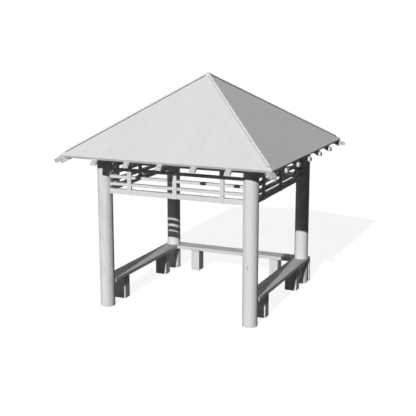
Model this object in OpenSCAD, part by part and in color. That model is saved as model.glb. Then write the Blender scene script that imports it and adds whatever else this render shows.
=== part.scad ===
// Garden gazebo with an open frame: four round posts on a square plan carry
// wall plates, hip rafters and a square pyramid roof. A lattice frieze hangs
// under the plates on all four sides, and benches close three of them.
// X runs along the open front and +Y to the back. Z is up, with the origin on
// the ground at the middle of the plan. Sizes are in millimetres.

/* [Plan] */
// Distance between post centres, the same both ways
post_span = 2500; // [1900:10:3600]
// Diameter of the round posts
post_d = 240; // [150:5:320]
// Gap left where a timber is scribed to a post
scribe_gap = 0.3; // [0:0.1:0.8]

/* [Roof] */
// Height of the roof's top edge along the eaves
eave_h = 2535; // [2100:5:3300]
// Rise from the eaves to the peak
roof_rise = 1200; // [800:10:1700]
// How far the eaves reach out past the post centres
overhang = 515; // [350:5:800]
// Thickness of the roof panels, square to the slope
panel_t = 46; // [20:1:80]

/* [Ridge caps] */
// Width of the cap strip along each hip
cap_w = 56; // [40:1:120]
// Height of the cap strip above the panels
cap_t = 20; // [8:1:40]
// How far short of the eave corner the cap strip stops, along the diagonal
cap_setback = 100; // [20:5:300]
// Width of the square cap over the peak
peak_cap_w = 96; // [60:2:300]
// Height of the peak cap above the panels
peak_cap_t = 22; // [22:1:80]

/* [Hip rafters] */
// Width of the hip rafters
hip_w = 90; // [70:5:160]
// Depth of each of the two layers of a hip rafter
hip_layer_t = 48; // [40:1:80]
// How far the hip rafters are let up between the ends of the panels
hip_let_in = 37; // [0:1:45]
// How far the upper layer runs past the roof's corner
hip_tail = 80; // [20:5:200]
// How much shorter the lower layer is than the upper one
hip_step = 78; // [30:1:200]

/* [Rafters] */
// Number of round rafters on each side
rafter_n = 5; // [3:2:7]
// Diameter of the round rafters
rafter_d = 100; // [70:1:120]
// Depth of the flat hewn along the top of each rafter for the panels
rafter_flat = 20; // [5:1:30]
// From the post centre line to the outermost rafter, in an even row
rafter_inset = 138; // [100:1:200]
// How far a row of rafters stands to the left of the middle of its side
rafter_shift = 33; // [0:1:60]
// How far the rafters run past the eave's top edge
rafter_tail = 24; // [-20:1:60]
// Height of the level cut at a tail, above the log's lowest line
tail_trim = 48; // [4:1:60]
// Depth of the notch that sits on the wall plate
rafter_notch = 16; // [4:1:30]

/* [Wall plates] */
// Width of the wall plates
plate_w = 100; // [60:5:140]
// Height of the wall plates
plate_t = 140; // [80:5:200]

/* [Lattice] */
// From the underside of the wall plates down to the lattice's lower edge
lattice_drop = 686; // [450:2:850]
// Thickness of the lattice rails
rail_t = 75; // [30:1:100]
// Number of rails
rail_n = 5; // [3:1:6]
// Height of the upper rails
rail_h = 42; // [30:1:70]
// Height of the bottom rail
bottom_rail_h = 80; // [50:1:120]
// Width of the upright battens
batten_w = 70; // [40:1:100]
// Thickness of the upright battens
batten_t = 40; // [25:1:60]
// How far the battens stand out in front of the rails
batten_proud = 12; // [0:1:20]
// From the face of a post to the middle of the nearest batten
batten_inset = 340; // [150:5:500]

/* [Benches] */
// Height of the seat above the ground
seat_h = 450; // [360:5:520]
// Thickness of the seat
seat_t = 62; // [30:1:90]
// How far the seat stands past a post on each side
seat_lip = 10; // [5:1:40]
// From the middle of a front post to the end of the seat behind it
seat_setback = 60; // [20:5:70]
// Length of a bench leg along the bench
leg_l = 160; // [80:5:300]
// How far a leg stands back from the seat's long edges
leg_setback = 25; // [5:1:50]
// From the post centre to the middle of the nearest bench leg
leg_inset = 480; // [300:5:700]
// Width of the square leg under the seats' outer back corner
corner_leg_w = 44; // [25:1:60]

/* [Hidden] */

// A module that is turned about Z is drawn for the front side, or for the
// front right corner, and these are the turns that take it to its own place.
FRONT = 0;
RIGHT = 90;
BACK = 180;
LEFT = 270;
FRONT_RIGHT = 0;
BACK_RIGHT = 90;
BACK_LEFT = 180;
FRONT_LEFT = 270;

timber_colour = "gainsboro";
roof_colour = "lightgray";

post_line = post_span / 2;
eave_line = post_line + overhang;
reach = 2 * eave_line;

// Slopes of the panels and of the hips between them
pitch = atan(roof_rise / eave_line);
hip_pitch = atan(tan(pitch) / sqrt(2));
peak_h = eave_h + roof_rise;
panel_drop = panel_t / cos(pitch);

// Heights under the panels, at a distance s out from the middle of the plan
function under_panel(s) = peak_h - panel_drop - s * tan(pitch);
function under_rafter(s) = under_panel(s) - (rafter_d - rafter_flat) / cos(pitch);

plate_top = under_rafter(post_line + plate_w / 2) + rafter_notch;
plate_bottom = plate_top - plate_t;
lattice_bottom = plate_bottom - lattice_drop;

// A hip rafter whose flat top only touches the panels hangs this far under
// the fold between them
hip_drop = hip_w / 2 * tan(hip_pitch);
hip_start = under_panel(0) - hip_drop + hip_let_in;
hip_end = eave_line * sqrt(2) / cos(hip_pitch) + hip_tail;

// The rails share the height between the bottom rail and the plate
rail_pitch = (lattice_drop - bottom_rail_h / 2) / (rail_n + 0.5);
batten_place = post_line - post_d / 2 - batten_inset;

rafter_gap = 2 * (post_line - rafter_inset) / (rafter_n - 1);
rafter_end = eave_line + rafter_tail;

seat_w = post_d + 2 * seat_lip;
seat_inner = post_line - seat_w / 2;
seat_outer = post_line + seat_w / 2;
leg_h = seat_h - seat_t;
leg_w = seat_w - 2 * leg_setback;
leg_place = post_line - leg_inset;

// ---- Shapes that are shared ----

// The space of a post, wider by a gap all round, for cutting timbers to it
module post_space(x, y) {
    translate([x, y, -1])
        cylinder(d = post_d + 2 * scribe_gap, h = peak_h);
}

// Both posts of the front side
module front_post_spaces() {
    post_space(post_line, -post_line);
    post_space(-post_line, -post_line);
}

// Draws in the frame of the front right hip: +X runs down along the middle
// of the hip rafter's flat top, and Z is square to it.
module along_hip() {
    rotate(-45)
        translate([0, 0, hip_start])
            rotate([0, hip_pitch, 0])
                children();
}

// Everything above a surface that lies some depth under the hip's flat top
module above_hip_line(depth) {
    along_hip()
        translate([-reach, -reach / 2, -depth])
            cube([2 * reach, reach, reach]);
}

module hip_blank() {
    along_hip() {
        translate([-hip_w, -hip_w / 2, -hip_layer_t])
            cube([hip_w + hip_end, hip_w, hip_layer_t]);
        translate([-hip_w, -hip_w / 2, -2 * hip_layer_t])
            cube([hip_w + hip_end - hip_step, hip_w, hip_layer_t]);
    }
}

// Both front posts' spaces, up to the slopes that their tops are cut to
module front_post_heads() {
    difference() {
        front_post_spaces();
        above_hip_line(2 * hip_layer_t);
        mirror([1, 0, 0]) above_hip_line(2 * hip_layer_t);
    }
}

// The part of the plan that belongs to the front side, cut off at a distance
// out from the middle. Its two long sides lie a gap away from the diagonals.
module front_sector(out, gap) {
    inner = gap * sqrt(2);
    linear_extrude(2 * peak_h)
        polygon([[0, -inner], [inner - out, -out], [out - inner, -out]]);
}

// A square pyramid that follows the panels' top faces, raised by some height
module roof_pyramid(raise) {
    low = eave_h - roof_rise;
    half = (peak_h + raise - low) / tan(pitch);
    intersection_for (turn = [0, 90])
        rotate(turn)
            rotate([90, 0, 0])
                linear_extrude(2 * reach, center = true)
                    polygon([[-half, low], [half, low], [0, peak_h + raise]]);
}

// ---- Frame ----

// Round post with its top cut to the slope of the hip rafter that it carries
module post(turn) {
    color(timber_colour)
        rotate(turn)
            difference() {
                translate([post_line, -post_line, 0])
                    cylinder(d = post_d, h = peak_h);
                above_hip_line(2 * hip_layer_t);
            }
}

// Beam from post to post that carries the rafters
module plate_blank() {
    translate([-post_line, -post_line - plate_w / 2, plate_bottom])
        cube([post_span, plate_w, plate_t]);
}

module wall_plate(turn) {
    color(timber_colour)
        rotate(turn)
            difference() {
                plate_blank();
                front_post_spaces();
                hip_blank();
                mirror([1, 0, 0]) hip_blank();
            }
}

// Frieze of level rails and upright battens between two posts
module lattice_rail(bottom, height) {
    translate([-post_line, -post_line - rail_t / 2, bottom])
        cube([post_span, rail_t, height]);
}

module lattice_batten(x) {
    translate([x - batten_w / 2, -post_line - rail_t / 2 - batten_proud, lattice_bottom])
        cube([batten_w, batten_t, lattice_drop]);
}

module lattice(turn) {
    color(timber_colour)
        rotate(turn)
            difference() {
                union() {
                    lattice_rail(lattice_bottom, bottom_rail_h);
                    for (i = [1 : rail_n - 1])
                        lattice_rail(lattice_bottom + bottom_rail_h / 2
                            + i * rail_pitch - rail_h / 2, rail_h);
                    for (x = [-batten_place, 0, batten_place])
                        lattice_batten(x);
                }
                front_post_spaces();
            }
}

// ---- Roof frame ----

// Hip rafter in two layers with a stepped tail, mitred against the other
// three hips at the peak and backed to the slopes of the two panels on it
module hip_rafter(turn) {
    color(timber_colour)
        rotate(turn)
            difference() {
                intersection() {
                    hip_blank();
                    translate([0, -reach, 0])
                        cube([reach, reach, peak_h]);
                }
                panel_blank();
                rotate(90) panel_blank();
            }
}

// One round rafter under the front panel, from the peak out
module rafter_log(x) {
    translate([x, 0, under_panel(0) - (rafter_d / 2 - rafter_flat) / cos(pitch)])
        rotate([90 + pitch, 0, 0])
            cylinder(d = rafter_d, h = reach);
}

// The space that the front rafters may fill: under the panel, up to plumb
// ends, and above the level cuts under the tails
module rafter_space() {
    level_cut = under_rafter(rafter_end) + tail_trim;
    rotate([90, 0, 90])
        linear_extrude(2 * reach, center = true)
            polygon([
                [0, under_panel(0)],
                [-rafter_end, under_panel(rafter_end)],
                [-rafter_end, level_cut],
                [0, level_cut]
            ]);
}

// Round rafters of one side, cut to the hips, notched over the wall plate and
// scribed to the head of the post that stands under the outermost one
module rafters(turn) {
    color(timber_colour)
        rotate(turn)
            difference() {
                intersection() {
                    union() {
                        for (i = [0 : rafter_n - 1])
                            rafter_log(rafter_inset - post_line - rafter_shift + i * rafter_gap);
                    }
                    rafter_space();
                    front_sector(reach, hip_w / 2);
                }
                plate_blank();
                front_post_heads();
            }
}

// ---- Roof ----

// Flat panel, mitred at the hips and cut square to the slope at the eave
module panel_blank() {
    intersection() {
        rotate([90, 0, 90])
            linear_extrude(2 * reach, center = true)
                polygon([
                    [0, peak_h],
                    [-eave_line, eave_h],
                    [panel_t * sin(pitch) - eave_line, eave_h - panel_t * cos(pitch)],
                    [0, under_panel(0)]
                ]);
        front_sector(reach, 0);
    }
}

module roof_panel(turn) {
    color(roof_colour)
        rotate(turn)
            panel_blank();
}

// Folded strip that covers the joint between two panels
module hip_cap(turn) {
    color(roof_colour)
        rotate(turn)
            difference() {
                intersection() {
                    roof_pyramid(cap_t);
                    rotate(-45)
                        translate([0, -cap_w / 2, 0])
                            cube([eave_line * sqrt(2) - cap_setback, cap_w, 2 * peak_h]);
                }
                roof_pyramid(0);
                peak_cap_space();
            }
}

module peak_cap_space() {
    translate([-peak_cap_w / 2, -peak_cap_w / 2, 0])
        cube([peak_cap_w, peak_cap_w, 2 * peak_h]);
}

// Pointed cap over the peak
module peak_cap() {
    color(roof_colour)
        difference() {
            intersection() {
                roof_pyramid(peak_cap_t);
                peak_cap_space();
            }
            roof_pyramid(0);
        }
}

// ---- Benches ----

// Seat along one side, from the front post round the back post to the corner
module side_seat(side) {
    front_end = seat_setback - post_line;
    color(timber_colour)
        difference() {
            translate([side * post_line - seat_w / 2, front_end, leg_h])
                cube([seat_w, seat_outer - front_end, seat_t]);
            post_space(side * post_line, -post_line);
            post_space(side * post_line, post_line);
        }
}

// Seat along the back, between the side seats
module back_seat() {
    color(timber_colour)
        translate([-seat_inner, seat_inner, leg_h])
            cube([2 * seat_inner, seat_w, seat_t]);
}

// Block under a seat, drawn for the front side and turned into place
module bench_leg(turn, along) {
    color(timber_colour)
        rotate(turn)
            translate([along - leg_l / 2, -post_line - leg_w / 2, 0])
                cube([leg_l, leg_w, leg_h]);
}

// Slim leg under the outer back corner of a side seat
module corner_leg(side) {
    inner = seat_outer - corner_leg_w;
    color(timber_colour)
        difference() {
            translate([side > 0 ? inner : -seat_outer, inner, 0])
                cube([corner_leg_w, corner_leg_w, leg_h]);
            post_space(side * post_line, post_line);
        }
}

post(FRONT_LEFT);  // front_left_post
post(FRONT_RIGHT);  // front_right_post
post(BACK_LEFT);  // back_left_post
post(BACK_RIGHT);  // back_right_post
wall_plate(FRONT);  // front_plate
wall_plate(BACK);  // back_plate
wall_plate(LEFT);  // left_plate
wall_plate(RIGHT);  // right_plate
lattice(FRONT);  // front_lattice
lattice(BACK);  // back_lattice
lattice(LEFT);  // left_lattice
lattice(RIGHT);  // right_lattice
hip_rafter(FRONT_LEFT);  // front_left_hip_rafter
hip_rafter(FRONT_RIGHT);  // front_right_hip_rafter
hip_rafter(BACK_LEFT);  // back_left_hip_rafter
hip_rafter(BACK_RIGHT);  // back_right_hip_rafter
rafters(FRONT);  // front_rafters
rafters(BACK);  // back_rafters
rafters(LEFT);  // left_rafters
rafters(RIGHT);  // right_rafters
roof_panel(FRONT);  // front_roof_panel
roof_panel(BACK);  // back_roof_panel
roof_panel(LEFT);  // left_roof_panel
roof_panel(RIGHT);  // right_roof_panel
hip_cap(FRONT_LEFT);  // front_left_hip_cap
hip_cap(FRONT_RIGHT);  // front_right_hip_cap
hip_cap(BACK_LEFT);  // back_left_hip_cap
hip_cap(BACK_RIGHT);  // back_right_hip_cap
peak_cap();
side_seat(-1);  // left_seat
side_seat(1);  // right_seat
back_seat();
bench_leg(LEFT, leg_place);  // left_bench_front_leg
bench_leg(LEFT, -leg_place);  // left_bench_back_leg
bench_leg(RIGHT, -leg_place);  // right_bench_front_leg
bench_leg(RIGHT, leg_place);  // right_bench_back_leg
bench_leg(BACK, leg_place);  // back_bench_left_leg
bench_leg(BACK, -leg_place);  // back_bench_right_leg
corner_leg(-1);  // left_corner_leg
corner_leg(1);  // right_corner_leg
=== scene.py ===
# %% [markdown]
# # An open garden gazebo in pale, weathered timber
#
# Four round posts carry wall plates, hip rafters and a square pyramid roof. A frieze of rails and
# battens hangs between the posts, and benches close three of the four sides. The sizes and the
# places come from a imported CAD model, which is loaded first and is never moved. This script dresses
# it: every timber is built again as a carpenter would leave it, with eased edges, drying cracks and
# its own run of grain, and the fixings that are too small for the CAD are added at their real size.

# %% Load the frame
import math
import random

import bmesh
import bpy
import numpy as np
from mathutils import Matrix, Vector


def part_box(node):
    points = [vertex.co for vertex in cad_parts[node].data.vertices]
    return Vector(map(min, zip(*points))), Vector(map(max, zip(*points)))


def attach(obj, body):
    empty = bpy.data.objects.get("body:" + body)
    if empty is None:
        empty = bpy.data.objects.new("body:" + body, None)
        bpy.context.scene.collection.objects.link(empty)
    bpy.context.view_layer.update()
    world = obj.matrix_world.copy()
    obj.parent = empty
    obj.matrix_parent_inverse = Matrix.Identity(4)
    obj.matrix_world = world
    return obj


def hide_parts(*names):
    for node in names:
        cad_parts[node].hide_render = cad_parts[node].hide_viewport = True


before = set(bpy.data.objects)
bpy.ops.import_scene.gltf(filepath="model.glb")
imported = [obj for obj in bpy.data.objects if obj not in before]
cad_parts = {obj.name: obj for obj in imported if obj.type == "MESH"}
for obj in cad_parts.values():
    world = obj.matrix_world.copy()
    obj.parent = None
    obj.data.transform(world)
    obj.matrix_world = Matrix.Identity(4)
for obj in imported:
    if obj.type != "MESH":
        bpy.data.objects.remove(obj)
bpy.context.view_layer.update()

# %% [markdown]
# ## Lines to set out by
#
# A roof is set out from a few lines: where the posts stand, how far the eaves reach, how high the
# peak is and how steep the panels are. All of them can be read off the CAD pieces. The slope comes
# from the top face of a roof panel, and a hip's slope follows from it, because a hip covers the same
# rise over a run that is longer by the square root of two.

# %% Read the setting-out lines
post_low, post_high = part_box("front_right_post")
post_line = ((post_low + post_high) / 2).x
post_radius = (post_high.x - post_low.x) / 2
panel_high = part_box("front_roof_panel")[1]
eave_line = panel_high.x
peak = panel_high.z
top_face = max(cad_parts["front_roof_panel"].data.polygons,
               key=lambda face: face.area * face.normal.z)
pitch = math.acos(top_face.normal.z)
hip_pitch = math.atan(math.tan(pitch) / math.sqrt(2))
PANEL = 0.046                       # a roof panel's whole thickness


def roof_under(out):
    """Height of the panels' undersides, at a distance out from the middle of the plan."""
    return peak - out * math.tan(pitch) - PANEL / math.cos(pitch)


print(f"posts at {post_line:.3f}, eaves at {eave_line:.3f}, peak {peak:.3f} m, "
      f"pitch {math.degrees(pitch):.1f} and hip {math.degrees(hip_pitch):.1f} degrees")

# %% [markdown]
# ## How a timber is kept
#
# Wood looks like wood because its pattern runs through the whole stick: long lines on the sides,
# rings on the sawn ends. So every timber here carries its own measure of where each point lies in
# the stick, across and along, in a mesh attribute named `grain`. The material draws rings round one
# side of that space and fibres along it, and every face shows the right cut by itself. Two more
# attributes say which points lie on an edge, and which faces are sawn ends.
#
# Most timbers are swept: rings of points, one after the other, joined by faces. Timbers are collected
# as plain arrays, and a piece is made from many of them in one go, which is much faster than joining
# objects. A weighted-normal modifier then keeps the big faces looking flat beside small eased edges.

# %% Join rings of points
def tube_faces(rings, around):
    """Faces of a closed tube: `rings` rings of `around` points each, with a cap at both ends."""
    faces = [[r * around + i, r * around + (i + 1) % around, (r + 1) * around + (i + 1) % around,
              (r + 1) * around + i] for r in range(rings - 1) for i in range(around)]
    return faces + [list(range(around))[::-1], [(rings - 1) * around + i for i in range(around)]]


print("a square tube with one stretch has", len(tube_faces(2, 4)), "faces")

# %% Collect timbers and make pieces from them
PIECES = bpy.data.collections.new("gazebo")
bpy.context.scene.collection.children.link(PIECES)
SHIFT_ACROSS, SHIFT_ALONG = 0.03, 9
chance = random.Random(11)


class Pile:
    """Timbers that will become one piece."""

    def __init__(self):
        self.points, self.grain, self.edge = [], [], []
        self.faces, self.end, self.finish = [], [], []
        self.count = 0

    def lay(self, points, faces, grain, edge=None, end=None, finish=0):
        """Adds one timber. Its grain is moved a little across and far along, so no two look alike."""
        step = [chance.uniform(-far, far) for far in (SHIFT_ACROSS, SHIFT_ACROSS, SHIFT_ALONG)]
        self.points.append(np.asarray(points, float))
        self.grain.append(np.asarray(grain, float) + np.array(step))
        self.edge.append(np.zeros(len(points)) if edge is None else np.asarray(edge, float))
        self.faces += [[self.count + i for i in face] for face in faces]
        self.end += list(end) if end is not None else [0.0] * len(faces)
        self.finish += [finish] * len(faces)
        self.count += len(points)

    def make(self, name, materials, slot, *nodes, turn=0.0, flat_angle=34):
        """Makes the piece, turned about Z, and hides the CAD nodes that it stands for."""
        mesh = bpy.data.meshes.new(name)
        mesh.from_pydata(np.concatenate(self.points).tolist(), [], self.faces)
        mesh.transform(Matrix.Rotation(math.radians(turn), 4, "Z"))
        for key, kind, field, values in (
                ("grain", "FLOAT_VECTOR", "vector", np.concatenate(self.grain)),
                ("edge", "FLOAT", "value", np.concatenate(self.edge))):
            layer = mesh.attributes.new(key, kind, "POINT")
            layer.data.foreach_set(field, values.astype(np.float32).ravel())
        layer = mesh.attributes.new("end_grain", "FLOAT", "FACE")
        layer.data.foreach_set("value", np.asarray(self.end, np.float32))
        for material in materials:
            mesh.materials.append(material)
        mesh.polygons.foreach_set("material_index", self.finish)
        mesh.polygons.foreach_set("use_smooth", [True] * len(mesh.polygons))
        mesh.set_sharp_from_angle(angle=math.radians(flat_angle))
        mesh.validate()
        piece = bpy.data.objects.new(name, mesh)
        PIECES.objects.link(piece)
        even = piece.modifiers.new("flat faces stay flat", "WEIGHTED_NORMAL")
        even.keep_sharp = True
        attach(piece, "root")
        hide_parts(*nodes)
        triangles = sum(len(face.vertices) - 2 for face in mesh.polygons)
        print(f"{name}: {triangles} triangles")
        return piece

# %% [markdown]
# ## Sawn and planed timbers
#
# A rail, plank or block leaves the workshop with its edges eased by a plane or sandpaper, because a
# sharp arris splinters. The eased edge is what catches the light, so it is worth real geometry. A
# bevel modifier could cut it, but then the edge attribute would have to be found again afterwards.
# Here the section is drawn with its rounded corners and swept from end to end, with a few more rings
# close to the ends, so the ends are eased as well.

# %% Build a sawn timber
RING_EVERY = 0.2                    # a ring of points every 20 cm along a sawn timber
END_RINGS = 4


def rounded_section(width, depth, ease):
    """Points round a rectangle with eased corners, and how much each lies on an edge."""
    points, edge = [], []
    band = min(4 * ease, 0.3 * min(width, depth))
    for sx, sy, first in ((1, 1, 0), (-1, 1, 90), (-1, -1, 180), (1, -1, 270)):
        cx, cy = sx * (width / 2 - ease), sy * (depth / 2 - ease)
        arc = [(cx + ease * math.cos(math.radians(first + a)),
                cy + ease * math.sin(math.radians(first + a))) for a in (0, 45, 90)]
        before = (arc[0][0], arc[0][1] - sy * band) if sx == sy else (arc[0][0] - sx * band, arc[0][1])
        after = (arc[2][0] - sx * band, arc[2][1]) if sx == sy else (arc[2][0], arc[2][1] - sy * band)
        points += [before, *arc, after]
        edge += [0.0, 0.7, 1.0, 0.7, 0.0]
    return np.array(points), np.array(edge)


def sawn(pile, foot, tip, across, width, depth, ease=0.004):
    """A straight timber from foot to tip. Its width lies along `across`."""
    foot, tip = Vector(foot), Vector(tip)
    along = (tip - foot).normalized()
    up = along.cross(Vector(across)).normalized()
    across = up.cross(along).normalized()
    length = (tip - foot).length
    inner = [0.05 + RING_EVERY * i for i in range(1, int((length - 0.1) / RING_EVERY))]
    rings = [(0.0, ease, 1.0), (ease * 0.3, ease * 0.3, 1.0), (ease, 0.0, 0.7), (4 * ease, 0.0, 0.0)]
    rings += [(w, 0.0, 0.0) for w in inner if 5 * ease < w < length - 5 * ease]
    rings += [(length - w, inset, worn) for w, inset, worn in reversed(rings[:END_RINGS])]
    points, grain, edge = [], [], []
    for w, inset, worn in rings:
        softer = ease * chance.uniform(0.75, 1.3)
        section, on_edge = rounded_section(width - 2 * inset, depth - 2 * inset,
                                           max(softer - inset, 0.0008))
        for (u, v), worn_side in zip(section, on_edge):
            points.append(foot + across * u + up * v + along * w)
            grain.append((u, v, w))
            edge.append(max(worn, worn_side))
    faces = tube_faces(len(rings), len(on_edge))
    end = [0.0] * (len(faces) - 2) + [1.0, 1.0]
    pile.lay(points, faces, grain, edge, end)


def sawn_box(pile, low, high, along, ease):
    """A timber that fills a box, with its grain along one axis: 0, 1 or 2."""
    low, high = Vector(low), Vector(high)
    foot, tip = (low + high) / 2, (low + high) / 2
    foot[along], tip[along] = low[along], high[along]
    wide, deep = (along + 1) % 3, (along + 2) % 3
    across = Vector((0, 0, 0))
    across[wide] = 1
    sawn(pile, foot, tip, across, high[wide] - low[wide], high[deep] - low[deep], ease)

# %% [markdown]
# ## Round logs
#
# A peeled log is not a perfect cylinder. It swells and wanders by a millimetre or two, and as it
# dries it opens in long radial cracks that carpenters call checks. They follow the fibres, which
# wind slowly round the trunk. The log is a grid of points round its axis. Extra columns are laid
# exactly where each check runs, and the middle one is pushed in towards the pith, so the crack is a
# true V-shaped groove and stays thin without a heavy mesh.

# %% Build a round log
WANDER = 0.0012                     # how far a log's skin swells and wanders


def log_grid(diameter, length, around, rows, checks, ease):
    """Points of a log along +Z as (x, y, z), its edge values, and its faces."""
    radius = diameter / 2
    columns = [(2 * math.pi * i / around, 0, None) for i in range(around)]
    for check in checks:
        near = 1.6 * 2 * math.pi / around       # plain columns this close to a check make room for it
        columns = [c for c in columns
                   if abs((c[0] - check["angle"] + math.pi) % (2 * math.pi) - math.pi) > near]
        columns += [(check["angle"], side, check) for side in (-1, 0, 1)]
    columns.sort(key=lambda c: c[0] % (2 * math.pi) + c[1] * 1e-4)
    waves = [(chance.randint(2, 4), chance.uniform(0.5, 2.2), chance.uniform(0, 6.3),
              chance.uniform(0, 6.3)) for _ in range(4)]
    twist = chance.uniform(-0.10, 0.10)
    heights = [0.0, ease * 0.3, ease] + list(np.linspace(0.02, length - 0.02, rows)) \
        + [length - ease, length - ease * 0.3, length]
    insets = [ease, ease * 0.3, 0.0] + [0.0] * rows + [0.0, ease * 0.3, ease]
    points, edge = [], []
    for w, inset in zip(heights, insets):
        for angle, side, check in columns:
            opening = 0.0
            if check:
                t = (w - check["from"]) / (check["to"] - check["from"])
                opening = math.sin(math.pi * t) ** 0.7 if 0 < t < 1 else 0.0
            a = angle + twist * w / length
            if check:
                a += side * check["width"] / 2 / radius * (0.25 + 0.75 * opening)
            r = radius - inset - WANDER
            r += WANDER / 4 * sum(math.sin(k * a + p) * math.cos(f * w + q) for k, f, p, q in waves)
            if check and side == 0:
                r -= check["depth"] * opening
            points.append((r * math.cos(a), r * math.sin(a), w))
            edge.append(1.0 if inset else 0.0)
    return points, edge, tube_faces(len(heights), len(columns))


def drying_checks(count, length, depth, width):
    """Checks at random places, from a hand's breadth to most of the log's length."""
    found = []
    for i in range(count):
        span = chance.uniform(0.25, 0.6) * length
        start = chance.uniform(-0.1, 0.7) * length
        found.append({"angle": 2 * math.pi * (i + chance.uniform(0.2, 0.8)) / count, "from": start,
                      "to": start + span, "depth": depth * chance.uniform(0.6, 1.2),
                      "width": width * chance.uniform(0.7, 1.3)})
    return found


def drop_slivers(bm):
    """Keeps the largest shell, because a cut along a check can part a sliver from the log."""
    left, shells = set(bm.verts), []
    while left:
        queue = [left.pop()]
        for vert in queue:
            for edge in vert.link_edges:
                other = edge.other_vert(vert)
                if other in left:
                    left.discard(other)
                    queue.append(other)
        shells.append(queue)
    shells.sort(key=len)
    for sliver in shells[:-1]:
        bmesh.ops.delete(bm, geom=sliver, context="VERTS")


def round_log(pile, foot, direction, length, diameter, around, rows, checks, cuts, ease):
    """A log from `foot`, sawn off by planes given as (point, outward normal, shows end grain)."""
    points, edge, faces = log_grid(diameter, length, around, rows, checks, ease)
    place = Matrix.Translation(foot) @ Vector(direction).to_track_quat("Z", "Y").to_matrix().to_4x4()
    bm = bmesh.new()
    grain_layer = bm.verts.layers.float_vector.new("grain")
    edge_layer = bm.verts.layers.float.new("edge")
    end_layer = bm.faces.layers.float.new("end_grain")
    for point, worn in zip(points, edge):
        vert = bm.verts.new(place @ Vector(point))
        vert[grain_layer] = point
        vert[edge_layer] = worn
    bm.verts.ensure_lookup_table()
    for i, face in enumerate(faces):
        bm.faces.new([bm.verts[v] for v in face])[end_layer] = 1.0 if i >= len(faces) - 2 else 0.0
    for point, normal, shows_end in cuts:
        cut = bmesh.ops.bisect_plane(bm, geom=bm.verts[:] + bm.edges[:] + bm.faces[:],
                                     plane_co=point, plane_no=normal, clear_outer=True)
        rim = [e for e in cut["geom_cut"] if isinstance(e, bmesh.types.BMEdge)]
        if rim:
            for face in bmesh.ops.edgeloop_fill(bm, edges=rim)["faces"]:
                face[end_layer] = float(shows_end)
    drop_slivers(bm)
    bmesh.ops.recalc_face_normals(bm, faces=bm.faces[:])
    bm.verts.index_update()
    pile.lay([v.co[:] for v in bm.verts], [[v.index for v in f.verts] for f in bm.faces],
             [v[grain_layer][:] for v in bm.verts], [v[edge_layer] for v in bm.verts],
             [f[end_layer] for f in bm.faces])
    bm.free()

# %% [markdown]
# ## Colours and one helper for shader nodes
#
# The colours are written the way a paint chart or a colour picker gives them, as sRGB hex values. A
# shader works with linear light, so one function turns them. One more adds a shader node with its
# settings and fed inputs, which keeps each finish readable as a list of what is done in order.

# %% Write colours and add nodes
def linear(hex_colour):
    """The linear colour that a shader needs for a written sRGB colour."""
    parts = [int(hex_colour[i:i + 2], 16) / 255 for i in (1, 3, 5)]
    return (*[v / 12.92 if v <= 0.04045 else ((v + 0.055) / 1.055) ** 2.4 for v in parts], 1.0)


def feed(tree, node, inputs):
    """Feeds a node's inputs. Each may be a value, or another node's output to link."""
    for key, value in inputs.items():
        if isinstance(value, bpy.types.NodeSocket):
            tree.links.new(value, node.inputs[key])
        else:
            node.inputs[key].default_value = value


def add(tree, kind, inputs=None, **settings):
    """Adds a shader node, with its inputs fed."""
    node = tree.nodes.new("ShaderNode" + kind)
    for key, value in settings.items():
        setattr(node, key, value)
    feed(tree, node, inputs or {})
    return node


def new_finish(name):
    """An empty material with a surface shader, ready for its nodes."""
    material = bpy.data.materials.new(name)
    material.use_nodes = True
    tree = material.node_tree
    return material, tree, tree.nodes["Principled BSDF"]


FACTOR, FIRST, SECOND, MIXED = 0, 6, 7, 2       # a colour Mix node's inputs, and its output
print("white paint #ffffff is", linear("#ffffff"), "and mid grey #808080 is", linear("#808080")[:3])

# %% [markdown]
# ## Weathered softwood
#
# Larch and pine left outdoors turn silver grey within a year or two: rain washes out the colour of
# the surface fibres, and only the harder late wood of each ring stays a little darker. What the eye
# gets is a pale, nearly neutral grey, with low-contrast lines along the grain, a few hairline cracks
# and knots that stay darker. The surface is matt, because the loose fibres scatter the light. Faces
# that look up are coloured darker than upright ones: partly for the rain and dust they hold, and
# partly as painted shade that darkens the tops.
#
# An image texture would repeat and would not match at the sawn ends. A solid procedural texture,
# drawn in the stick's own space, runs through the whole timber. Real rings are 2 to 4 mm apart and
# fibres under 1 mm. Both are drawn about three times as coarse here, because finer ones vanish when
# the whole gazebo is in view. The same recipe serves for peeled logs, sawn beams and planed rails,
# with other numbers for each.

# %% Make the timber finishes
RING_WAVE = 2 * math.pi / 20        # a ring wave of scale 1 repeats after this distance
SAW_FEED = 0.007                    # the saw leaves a mark every 7 mm
# The last tint darkens faces that look up: rain and dust, and painted shade on the tops
RUBBED, KNOT, CRACK, DUST_AND_PAINTED_SHADE = "#e5e5e3", "#8f8983", "#77736f", "#5f5e5c"


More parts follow.
